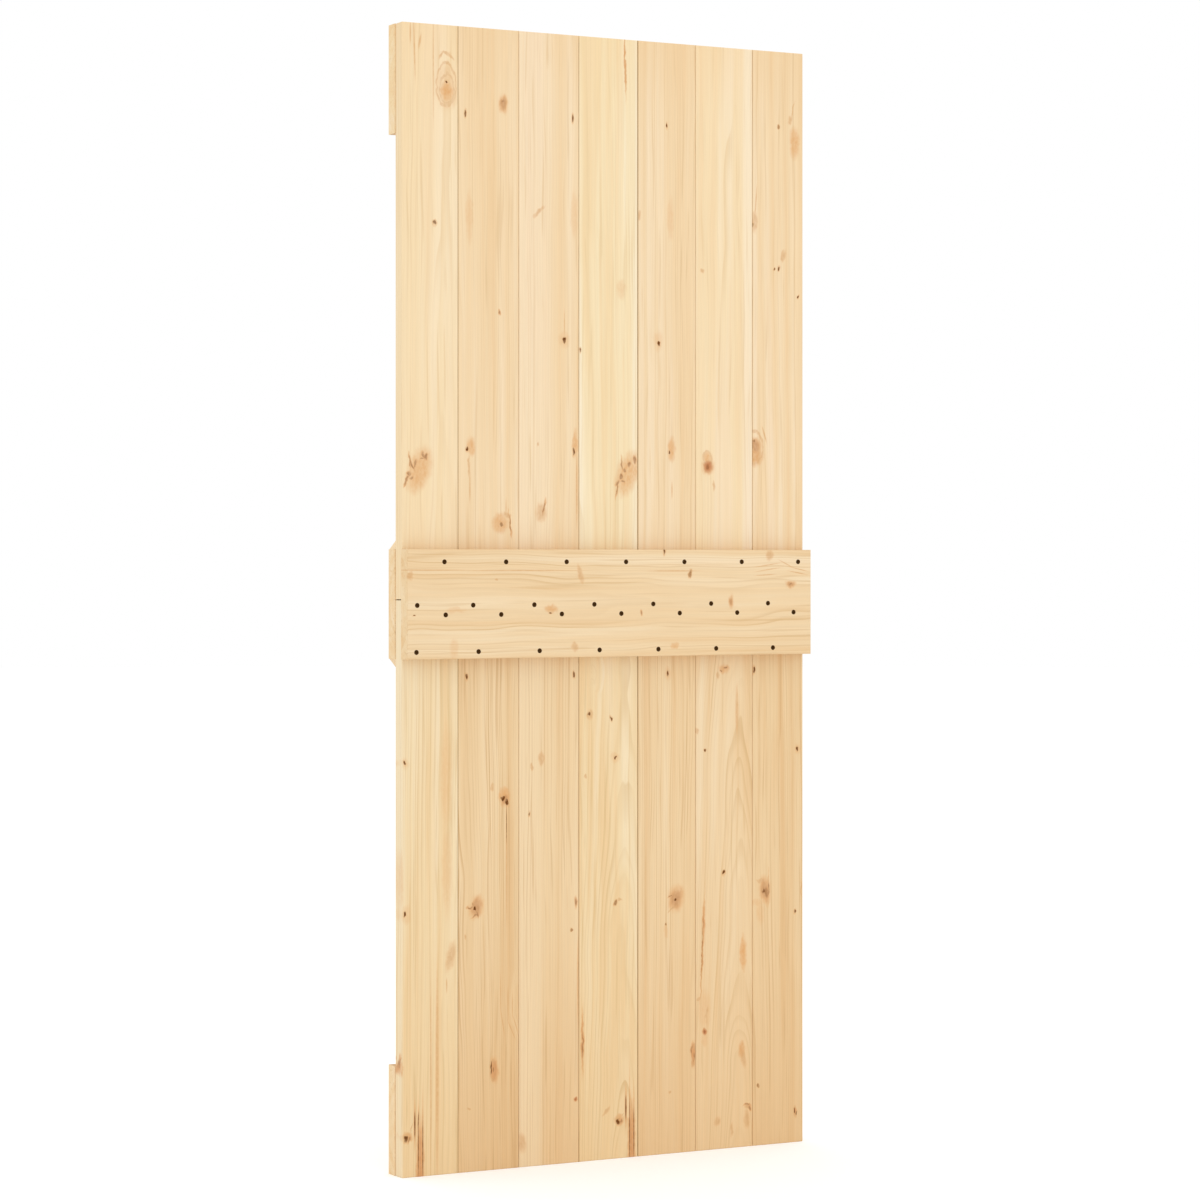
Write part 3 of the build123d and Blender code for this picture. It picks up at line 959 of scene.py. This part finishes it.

# The lower boards' feet are warmer and darker, partly painted shade.
LOWER_BOARDS = Planks(90.0, {
    "lower_board_1": PineFinish(Tone.BUTTER, Growth(11.0, (60, 55), 8, 4.5, 0.85, 0.85), {
        Kind.PIN: [(6, 752, 2.8, 4.5), (6, 478, 2.6, 4.6), (8.5, 71, 4.5, 5)],
        Kind.TINT: [
            (7, 752, 6, 8), (89, 728, 9, 74), (8, 478, 8, 13), (91, 552, 8, 64), (-2, 540, 4, 40),
        ],
        Kind.SMUDGE: [(98, 396, 8.5, 23, 14), (19, 88, 1.2, 9, 20)],
        Kind.STREAK: [(90, 345, 1.3, 12), (37, 30, 0.8, 40), (71, 190, 3, 166), (58, 190, 1.3, 166)],
        Kind.BAND: [(-1, 500, 2.5, 2000)],
        Kind.AMBER: [(-3, 199, 4, 11), (37, 28, 6, 56)],
        Kind.FLECK: [(-1, 206, 0.8, 9), (15, 68, 1.5, 4, 20)],
        Kind.TAN: [(11, 73, 9, 9)],
        Kind.SHAKE: [(26, 95, 1.3, 23), (33, 102, 0.9, 15, 2), (33, 48, 0.8, 46), (42, 52, 0.9, 52)],
    }, 0.85, End.FOOT, (0.0, 0.85)),
    "lower_board_2": PineFinish(Tone.HONEY, Growth(12.0, (-70, 42), 14, 3.0, 0.95, 0.85, wave=5), {
        Kind.PIN: [
            (130, 908, 2.2, 4.5), (204, 683, 4.4, 5), (213, 674, 2.8, 5.6, -10), (147, 481, 2.8, 2.8),
            (181, 188, 1.3, 12),
        ],
        Kind.SMUDGE: [(183, 706, 3, 7), (127, 433, 2, 4), (136, 116, 3, 2.8)],
        Kind.RESIN: [(208, 688, 10, 13)],
        Kind.KNOT: [(208, 680, 8, 10), (150, 484, 11, 18, 15)],
        Kind.SHAKE: [(212, 634, 0.5, 34)],
        Kind.STREAK: [
            (212, 560, 1.2, 100), (200, 321, 0.9, 34), (204, 270, 0.9, 24, -9), (215, 300, 0.9, 30),
            (222, 256, 0.9, 18, -24), (224, 300, 0.9, 22), (230, 267, 0.9, 15, -19),
        ],
        Kind.FLECK: [
            (138, 485, 4.5, 1.3), (143, 490, 1.1, 4, -10), (148, 469, 1.3, 6, 60),
            (152, 473, 1.1, 5, -10), (185, 183, 1.3, 4),
        ],
        Kind.SWIRL: [(236, 308, 15, 34), (236, 298, 12, 26)],
        Kind.AMBER: [(187, 183, 6, 17)],
        Kind.RING: [(185, 183, 5, 17)],
    }, 0.85, End.FOOT, (0.85, 0.0)),
    "lower_board_3": PineFinish(Tone.OAT, Growth(13.0, (85, 50), 6, 5.0, 0.5, 0.7), {
        Kind.BAND: [(252, 500, 32, 2000)],
        Kind.PIN: [(352, 909, 2.2, 5), (259, 653, 1.8, 2.8)],
        Kind.SMUDGE: [(284, 754, 5.5, 12), (264, 740, 2.5, 5.5), (244, 45, 7, 15)],
        Kind.FLECK: [(356, 484, 1.5, 6.5)],
        Kind.SPOT: [(347, 433, 2.2, 2.8)],
        Kind.STREAK: [(361, 335, 2.5, 70)],
        Kind.RED: [(355, 117, 3, 3)],
    }, 0.85, End.FOOT, (0.0, 0.25)),
    "lower_board_4": PineFinish(Tone.BUTTER, Growth(14.0, (30, 50), 38, 4.6, 0.75, 1.3, wave=10), {
        Kind.PIN: [(384, 836, 3, 4.6), (430, 826, 2, 3.6), (439, 752, 2.7, 2.7), (445, 70, 4.8, 5)],
        Kind.SMUDGE: [
            (386, 835, 6, 9), (376, 717, 2.5, 4.5), (450, 484, 5, 3), (455, 79, 1.3, 6, 20),
            (420, 90, 3, 10, 40),
        ],
        Kind.TINT: [(439, 752, 8, 8)],
        Kind.SWIRL: [(405, 913, 10, 22)],
        Kind.SPOT: [(440, 480, 3.6, 5)],
        Kind.AMBER: [(370, 223, 2.3, 46), (474, 28, 6, 60)],
        Kind.FLECK: [(370, 215, 1, 26), (452, 69, 2, 3)],
        Kind.TAN: [(447, 73, 9, 9)],
        Kind.SHAKE: [(462, 95, 1.3, 22), (470, 50, 0.9, 60), (479, 45, 0.9, 50)],
        Kind.STREAK: [(474, 28, 0.8, 40)],
    }, 0.85, End.FOOT, (0.25, 0.65)),
    "lower_board_5": PineFinish(Tone.OAT, Growth(15.0, (75, 45), 5, 3.4, 0.6, 0.75), {
        Kind.PIN: [(552, 908, 2.3, 5), (569, 480, 3.2, 3.7)],
        Kind.TINT: [(552, 908, 6, 10), (548, 420, 3, 12)],
        Kind.KNOT: [(570, 482, 14, 20, 14)],
        Kind.FLECK: [(558, 486, 4, 1.2), (604, 192, 1.1, 9), (609, 177, 1.1, 9)],
        Kind.SMUDGE: [(562, 462, 2, 10, 52), (578, 493, 1.6, 8, 20), (556, 116, 2.8, 3)],
        Kind.SPOT: [(548, 433, 1.9, 3)],
        Kind.AMBER: [(607, 184, 4, 18)],
        Kind.RING: [(607, 184, 4, 18)],
    }, 0.85, End.FOOT, (0.65, 0.0)),
    "lower_board_6": PineFinish(Tone.STRAW, Growth(16.0, (28, 52), 46, 3.8, 0.7, 0.8, wave=10), {
        Kind.PATCH: [(674, 915, 11, 8)],
        Kind.FLECK: [
            (678, 917, 3, 2), (668, 912, 2.5, 1.3, 20), (627, 385, 0.6, 60, 3), (632, 226, 1.8, 3),
            (726, 79, 4.5, 1.3), (731, 74, 2, 2.6),
        ],
        Kind.SMUDGE: [
            (661, 901, 2.5, 8), (615, 797, 3, 4.5), (619, 289, 3, 5, 50), (636, 262, 2.5, 12, 12),
            (717, 172, 5, 17, -10), (728, 76, 7, 5), (725, 51, 6, 15), (660, 53, 6, 8),
            (692, 36, 3, 12),
        ],
        Kind.PIN: [(633, 762, 2, 2.8), (674, 528, 3, 3.8)],
        Kind.STREAK: [(703, 837, 3, 38), (637, 247, 0.9, 13)],
        Kind.AMBER: [(630, 435, 2.2, 26), (627, 375, 1.2, 72, 3)],
        Kind.RESIN: [(717, 370, 6, 28)],
        Kind.TINT: [(632, 267, 10, 30), (632, 212, 5, 12)],
        Kind.RED: [(632, 225, 4, 5.5)],
        Kind.TAN: [(714, 186, 6, 16)],
    }, 0.85, End.FOOT, (0.0, 0.0)),
    "lower_board_7": PineFinish(Tone.HONEY, Growth(17.0, (-60, 48), 8, 4.0, 0.5, 0.9), {
        Kind.PIN: [
            (740, 912, 2.4, 6), (838, 758, 3, 5), (764, 488, 3.4, 4.4), (832, 443, 1.8, 3.6),
            (831, 61, 1.3, 4), (835, 56, 1.3, 4),
        ],
        Kind.TINT: [(839, 758, 6, 8), (748, 466, 12, 6), (755, 446, 7, 17)],
        Kind.KNOT: [(764, 491, 10, 20)],
        Kind.SPOT: [(764, 487, 5.5, 6.5), (751, 113, 2.6, 3)],
        Kind.SMUDGE: [(756, 507, 9, 3), (847, 486, 1.5, 16)],
        Kind.FLECK: [(768, 483, 4, 12, -5), (773, 492, 0.9, 18)],
        Kind.AMBER: [(833, 59, 2.6, 6)],
        Kind.RING: [(833, 59, 2.8, 7.5)],
    }, 0.85, End.FOOT, (0.0, 0.0)),
})

# The rails' long sawn edges are darkened, partly as painted shade.
RAILS = Planks(0.0, {
    "back_middle_rail": PineFinish(Tone.STRAW, Growth(21.0, (0, 95), 6, 3.2, 0.7, 0.9, wave=9), {
        Kind.SMUDGE: [
            (4, 1095, 4.5, 7.5), (177, 1088, 3, 1.8), (351, 1097, 5, 16, -15), (760, 1133, 8, 9),
            (339, 961, 7, 7.5),
        ],
        Kind.TINT: [(95, 1031, 16, 5), (92, 961, 7, 14)],
        Kind.PATCH: [(290, 1033, 13, 7.5), (551, 961, 7.5, 6.5)],
        Kind.PIN: [(289, 1024, 3, 2), (11, 1022, 2.3, 1.2), (529, 1140, 2, 5)],
        Kind.STREAK: [
            (234, 1103, 102, 1.1), (549, 1102, 47, 1.1), (40, 1104, 70, 1.0), (755, 1113, 24, 1, -8),
            (755, 1104, 24, 1, -8), (750, 1094, 20, 1, -3), (796, 1115, 16, 1, 25),
            (824, 1105, 20, 1, 12), (822, 1098, 20, 1, 10),
        ],
        Kind.SPOT: [(584, 1097, 4, 7)],
        Kind.KNOT: [(806, 1076, 10, 6), (673, 1044, 5, 11)],
        Kind.FLECK: [(806, 1076, 4, 2), (480, 1025, 1.7, 3.4)],
    }, sawn_edge_shade=0.8),
    "front_top_rail": PineFinish(Tone.SHELL, Growth(22.0, (14, -66), 12, 4.4, 0.5), {
        Kind.KNOT: [(180, 2040, 10, 8), (644, 2012, 11, 9)],
        Kind.PIN: [(420, 1960, 5, 3)],
        Kind.PATCH: [(640, 2010, 24, 14)],
    }, sawn_edge_shade=0.8),
    "front_middle_rail": PineFinish(Tone.CREAM, Growth(23.0, (-8, -62), 10, 4.0, 0.5), {
        Kind.KNOT: [(120, 1010, 12, 9), (560, 1030, 10, 7)],
        Kind.SMUDGE: [(360, 1090, 8, 6)],
        Kind.PIN: [(770, 980, 5, 3)],
    }, sawn_edge_shade=0.8),
    "front_bottom_rail": PineFinish(Tone.CREAM, Growth(24.0, (10, -70), 12, 4.2, 0.55), {
        Kind.PATCH: [(250, 120, 24, 14)],
        Kind.KNOT: [(252, 122, 11, 8), (700, 140, 10, 7)],
        Kind.PIN: [(520, 60, 5, 3)],
    }, sawn_edge_shade=0.8),
})


@dataclass
class Braces:
    """The two slanted braces of the front face.

    Attributes:
        width: their width square to the grain, in metres.
        finishes: each brace's finish, and which way it climbs, by its node's name.
    """

    width: float
    finishes: dict[str, tuple[PineFinish, int]]

    def dress(self) -> None:
        """Finish both braces along their own slants."""
        for node, (finish, climb) in self.finishes.items():
            low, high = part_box(node)
            run, rise = high.x - low.x, high.z - low.z
            slant = asin(self.width / hypot(run, rise)) + atan2(rise, run)
            dress(node, finish, climb * slant)


BRACES = Braces(0.2, {
    "upper_brace": (PineFinish(Tone.SHELL, Growth(31.0, (12, -58), 10, 4.2, 0.5), {
        Kind.KNOT: [(300, 1400, 8, 12, 40), (610, 1760, 9, 13, 40)],
        Kind.PIN: [(470, 1520, 3, 5, 40)],
    }), 1),
    "lower_brace": (PineFinish(Tone.CREAM, Growth(32.0, (-14, -60), 10, 4.0, 0.5), {
        Kind.KNOT: [(280, 720, 8, 12, -40), (640, 320, 9, 13, -40)],
        Kind.PIN: [(500, 560, 3, 5, -40)],
    }), -1),
})


@dataclass
class Screws:
    """The countersunk screws, one mesh for each packed set.

    Attributes:
        sets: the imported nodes, each with the way out of its face along Y.
        head: radius of the head, in metres.
        shank: radius of the shank, in metres.
        tip: length of the pointed end, in metres.
        point: the tip's end, as a share of the shank.
        sides: how many sides the round parts have.
        rim: width of the level rim of the head, in metres.
        dish: width of the slope inside that rim, in metres.
        sink: how far that slope falls, in metres.
        recess: half the span of the cross that is cut, at its wide end, in metres.
        slot: half the width of its bars there, in metres.
        depth: how deep it cuts, in metres.
        taper: its narrow end, as a share of its wide end.
        soft: width of the softened edges, in metres.
        crease: the angle from which an edge is softened, in degrees.
    """

    sets: dict[str, int]
    head: float = 4.5 * MM
    shank: float = 2.25 * MM
    tip: float = 5.0 * MM
    point: float = 0.2
    sides: int = 32
    rim: float = 0.25 * MM
    dish: float = 0.9 * MM
    sink: float = 0.06 * MM
    recess: float = 2.3 * MM
    slot: float = 0.55 * MM
    depth: float = 1.6 * MM
    taper: float = 0.45
    soft: float = 0.08 * MM
    crease: float = 35.0

    SAME_TIP = 2 * MM

    def build(self, finish: SteelFinish) -> None:
        """Model each set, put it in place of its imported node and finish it.

        Args:
            finish: the screws' finish.
        """
        material = finish.material("screw_coat")
        draw = Random(7)
        for node, out in self.sets.items():
            low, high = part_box(node)
            pattern = self._pattern(high.y - low.y)
            face = high.y if out > 0 else low.y
            copies = [self._copy(pattern, spot, face, out, draw) for spot in self._places(node, out)]
            bpy.data.objects.remove(pattern)
            piece = self._join(copies, f"{node}_dressed")
            piece.data.materials.clear()
            piece.data.materials.append(material)
            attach(piece, BODY)
            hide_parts(node)
            LOG.info("%s: %d screws", node, len(copies))

    @classmethod
    def _places(cls, node: str, out: int) -> list[tuple[float, float]]:
        """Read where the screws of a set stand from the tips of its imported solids.

        Args:
            node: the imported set.
            out: the way out of its face along Y.

        Returns:
            The screws' places, across and up.
        """
        low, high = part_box(node)
        tip_y = low.y if out > 0 else high.y
        tips: list[list[Vector]] = []
        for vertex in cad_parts[node].data.vertices:
            spot = vertex.co
            if abs(spot.y - tip_y) > SLACK:
                continue
            for group in tips:
                if (group[0] - spot).length < cls.SAME_TIP:
                    group.append(spot)
                    break
            else:
                tips.append([spot])
        middles = [sum(group, Vector()) / len(group) for group in tips]
        return [(middle.x, middle.z) for middle in middles]

    def _pattern(self, length: float) -> bpy.types.Object:
        """Model one screw that stands on its tip, its head at the origin.

        Args:
            length: the screw's length.

        Returns:
            The screw.
        """
        bpy.ops.object.select_all(action="DESELECT")
        cone = self.head - self.shank
        bpy.ops.mesh.primitive_cylinder_add(
            vertices=self.sides, radius=self.head, depth=cone, location=(0, 0, -cone / 2)
        )
        screw = bpy.context.object
        bpy.ops.object.transform_apply(location=True, rotation=True, scale=True)
        bpy.ops.object.mode_set(mode="EDIT")
        bpy.ops.mesh.select_mode(type="FACE")
        self._select_level(screw, -cone)
        narrow = self.shank / self.head
        bpy.ops.transform.resize(value=(narrow, narrow, 1.0))
        bpy.ops.mesh.extrude_region_move(TRANSFORM_OT_translate={"value": (0, 0, cone + self.tip - length)})
        bpy.ops.mesh.extrude_region_move(TRANSFORM_OT_translate={"value": (0, 0, -self.tip)})
        bpy.ops.transform.resize(value=(self.point, self.point, 1.0))
        self._select_level(screw, 0.0)
        bpy.ops.mesh.inset(thickness=self.rim, depth=0.0)
        bpy.ops.mesh.inset(thickness=self.dish, depth=-self.sink)
        bpy.ops.object.mode_set(mode="OBJECT")

        cutter = self._cross()
        cut = screw.modifiers.new("recess", "BOOLEAN")
        cut.object = cutter
        cut.operation = "DIFFERENCE"
        cut.solver = "EXACT"
        self._pick(screw)
        bpy.ops.object.modifier_apply(modifier=cut.name)
        bpy.data.objects.remove(cutter)
        bevel = screw.modifiers.new("soft_edges", "BEVEL")
        bevel.width = self.soft
        bevel.segments = 2
        bevel.limit_method = "ANGLE"
        bevel.angle_limit = radians(self.crease)
        bpy.ops.object.modifier_apply(modifier=bevel.name)
        bpy.ops.object.shade_smooth_by_angle(angle=radians(self.crease))
        return screw

    @staticmethod
    def _pick(*pieces: bpy.types.Object) -> None:
        """Select some pieces only, and make the first one active.

        Args:
            pieces: the pieces.
        """
        bpy.ops.object.select_all(action="DESELECT")
        for piece in pieces:
            piece.select_set(True)
        bpy.context.view_layer.objects.active = pieces[0]

    @staticmethod
    def _select_faces(piece: bpy.types.Object, wanted: Callable[[bpy.types.MeshPolygon], bool]) -> None:
        """Select only the faces that are wanted, and stay in edit mode.

        Args:
            piece: the active piece.
            wanted: tells whether a face is wanted.
        """
        bpy.ops.object.mode_set(mode="EDIT")
        bpy.ops.mesh.select_all(action="DESELECT")
        bpy.ops.object.mode_set(mode="OBJECT")
        for face in piece.data.polygons:
            face.select = wanted(face)
        bpy.ops.object.mode_set(mode="EDIT")

    @classmethod
    def _select_level(cls, piece: bpy.types.Object, height: float) -> None:
        """Select only the level faces at one height."""
        cls._select_faces(
            piece, lambda face: abs(face.normal.z) > SQUARE_ON and abs(face.center.z - height) < SLACK
        )

    def _cross(self) -> bpy.types.Object:
        """Model the tapered cross that is cut into a head.

        Returns:
            The cutting shape.
        """
        bpy.ops.object.select_all(action="DESELECT")
        side = 2 * self.slot
        height = 2 * self.depth
        bpy.ops.mesh.primitive_cube_add(size=1.0, location=(0, 0, 0), scale=(side, side, height))
        cross = bpy.context.object
        bpy.ops.object.transform_apply(location=True, rotation=True, scale=True)
        for axis in (Vector((1, 0, 0)), Vector((-1, 0, 0)), Vector((0, 1, 0)), Vector((0, -1, 0))):
            self._select_faces(
                cross, lambda face: face.center.length < side and face.normal.dot(axis) > SQUARE_ON
            )
            move = axis * (self.recess - self.slot)
            bpy.ops.mesh.extrude_region_move(TRANSFORM_OT_translate={"value": move})
        bpy.ops.mesh.select_all(action="DESELECT")
        bpy.ops.object.mode_set(mode="OBJECT")
        for vertex in cross.data.vertices:
            vertex.select = vertex.co.z < 0
        bpy.ops.object.mode_set(mode="EDIT")
        bpy.ops.transform.resize(value=(self.taper, self.taper, 1.0), center_override=(0, 0, -self.depth))
        bpy.ops.object.mode_set(mode="OBJECT")
        return cross

    @staticmethod
    def _copy(
        pattern: bpy.types.Object, spot: tuple[float, float], face: float, out: int, draw: Random
    ) -> bpy.types.Object:
        """Drive one copy of the screw into a face, its cross turned by chance.

        Args:
            pattern: the modelled screw.
            spot: its place across and up.
            face: where its head lies along Y.
            out: the way out of the face along Y.
            draw: the seeded chance.

        Returns:
            The copy, with its place in its mesh.
        """
        Screws._pick(pattern)
        bpy.ops.object.duplicate(linked=False)
        copy = bpy.context.object
        copy.rotation_euler = (-out * pi / 2, 0.0, draw.uniform(0.0, pi / 2))
        copy.rotation_mode = "ZXY"
        copy.location = (spot[0], face, spot[1])
        bpy.ops.object.transform_apply(location=True, rotation=True, scale=True)
        return copy

    @classmethod
    def _join(cls, copies: list[bpy.types.Object], name: str) -> bpy.types.Object:
        """Join the copies into one piece.

        Args:
            copies: the screws of a set.
            name: the piece's name.

        Returns:
            The piece.
        """
        cls._pick(*copies)
        bpy.ops.object.join()
        piece = bpy.context.object
        piece.name = name
        piece.data.name = name
        return piece


SCREWS = Screws({
    "back_screw_row_1": -1, "back_screw_row_2": -1, "back_screw_row_3": -1, "back_screw_row_4": -1,
    "top_rail_screws": 1, "bottom_rail_screws": 1, "upper_brace_screws": 1, "lower_brace_screws": 1,
})


@dataclass
class Studio:
    """A pale floor, soft light and the photo's camera.

    Attributes:
        yaw: how far the camera looks to the right of square on, in degrees.
        stand_off: from the camera to the boards' back along its axis, in metres.
        eye_height: the camera's height over the leaf's foot, in metres.
        aim_across: where its axis meets the boards, from the leaf's middle, in metres.
        lens: focal length on the sensor, in millimetres.
        sensor: width of the sensor, in millimetres.
        shift: how far the frame is moved up, as a share of its width.
        floor_radius: radius of the floor, in metres.
        floor_paint: how much light its paint gives back.
        floor_glow: how much brighter than its paint it is shown.
        sky: strength of the even light from all round, which is shown as plain white.
        overhead: how far before and behind the top rail the upper lamps hang, and how high, in metres.
        overhead_side: the side of those lamps, in metres.
        overhead_power: their power, in watts.
        key: where the low lamp before the leaf hangs, in metres. The one behind is turned half round.
        key_side: the side of those two lamps, in metres.
        key_power: their power, in watts.
    """

    yaw: float = 27.89
    stand_off: float = 6.41
    eye_height: float = 1.12
    aim_across: float = -0.018
    lens: float = 102.8
    sensor: float = 36.0
    shift: float = -0.03225
    floor_radius: float = 30.0
    floor_paint: float = 0.92
    floor_glow: float = 0.2
    sky: float = 0.94
    overhead: tuple[float, float] = (2.4, 3.4)
    overhead_side: float = 3.4
    overhead_power: float = 20.0
    key: tuple[float, float, float] = (-1.6, 5.0, -1.4)
    key_side: float = 1.1
    key_power: float = 10.0

    def build(self) -> None:
        """Set up the floor, the light and the camera."""
        bpy.context.scene.view_settings.view_transform = "Standard"
        self._floor()
        self._world()
        out, height = self.overhead
        for side in (-1.0, 1.0):
            above = Vector((0.0, out * side, height))
            below = Vector((0.0, out * side, cad_low.z))
            self._lamp("overhead", above, below, self.overhead_side, self.overhead_power)
            beside = Vector((self.key[0] * side, self.key[1] * side, self.key[2]))
            self._lamp("key", beside, (cad_low + cad_high) / 2, self.key_side, self.key_power)
        self._camera()

    def _floor(self) -> None:
        """Lay a wide pale floor under the leaf's foot, a little brighter to the camera than its paint."""
        bpy.ops.object.select_all(action="DESELECT")
        bpy.ops.mesh.primitive_circle_add(
            vertices=96, radius=self.floor_radius, fill_type="NGON", location=(0, 0, cad_low.z)
        )
        floor = bpy.context.object
        floor.name = "floor"
        bpy.ops.object.transform_apply(location=True, rotation=True, scale=True)
        material = bpy.data.materials.new("pale_floor")
        bench = NodeBench.of(material)
        paint = bench.add("BsdfDiffuse")
        paint.inputs["Color"].default_value = (self.floor_paint, self.floor_paint, self.floor_paint, 1.0)
        glow = bench.add("Emission")
        bench.feed(glow.inputs["Strength"], bench.math("MULTIPLY", self._shown(bench), self.floor_glow))
        lit = bench.add("AddShader")
        bench.feed(lit.inputs[0], paint.outputs[0])
        bench.feed(lit.inputs[1], glow.outputs[0])
        bench.feed(bench.add("OutputMaterial").inputs["Surface"], lit.outputs[0])
        floor.data.materials.append(material)

    def _world(self) -> None:
        """Light the scene evenly from all round, and show plain white behind the leaf."""
        world = bpy.data.worlds.new("white_studio")
        bpy.context.scene.world = world
        bench = NodeBench.of(world)
        light = bench.add("Background")
        bench.feed(light.inputs["Color"], (1.0, 1.0, 1.0, 1.0))
        bench.feed(light.inputs["Strength"], bench.span(self._shown(bench), 0.0, 1.0, self.sky, 1.0))
        bench.feed(bench.add("OutputWorld").inputs["Surface"], light.outputs[0])

    @staticmethod
    def _shown(bench: NodeBench) -> Link:
        """Tell the rays that show the background, in the picture or in a gloss, from those that carry light.

        Args:
            bench: where the nodes go.

        Returns:
            1 for a ray that shows the background, otherwise 0.
        """
        path = bench.add("LightPath").outputs
        shown = bench.math("MAXIMUM", path["Is Camera Ray"], path["Is Glossy Ray"])
        return bench.math("MAXIMUM", shown, path["Is Transmission Ray"])

    @staticmethod
    def _lamp(name: str, place: Vector, aim: Vector, size: float, power: float) -> None:
        """Hang one large soft lamp.

        Args:
            name: the lamp's name.
            place: where it hangs.
            aim: what it faces.
            size: its side, in metres.
            power: its power, in watts.
        """
        lamp = bpy.data.lights.new(name, "AREA")
        lamp.size = size
        lamp.energy = power
        lamp_object = bpy.data.objects.new(name, lamp)
        bpy.context.scene.collection.objects.link(lamp_object)
        lamp_object.location = place
        lamp_object.rotation_euler = (aim - place).to_track_quat("-Z", "Y").to_euler()

    def _camera(self) -> None:
        """Stand the camera where the photo was taken from."""
        camera = bpy.data.cameras.new("photo_camera")
        camera.sensor_width = self.sensor
        camera.lens = self.lens
        camera.shift_y = self.shift
        camera.clip_end = 100.0
        camera_object = bpy.data.objects.new("photo_camera", camera)
        bpy.context.scene.collection.objects.link(camera_object)
        yaw = radians(self.yaw)
        boards_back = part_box("upper_board_1")[0].y
        aim = Vector((self.aim_across, boards_back, cad_low.z + self.eye_height))
        camera_object.location = aim - Vector((sin(yaw), cos(yaw), 0.0)) * self.stand_off
        camera_object.rotation_euler = (pi / 2, 0.0, -yaw)
        bpy.context.scene.camera = camera_object


def main() -> None:
    """Dress the planks, model the screws and set up the studio."""
    logging.basicConfig(level=logging.INFO, format="%(name)s %(message)s")
    for part in (UPPER_BOARDS, LOWER_BOARDS, RAILS, BRACES):
        part.dress()
    SCREWS.build(SteelFinish())
    Studio().build()


if __name__ == "__main__":
    main()
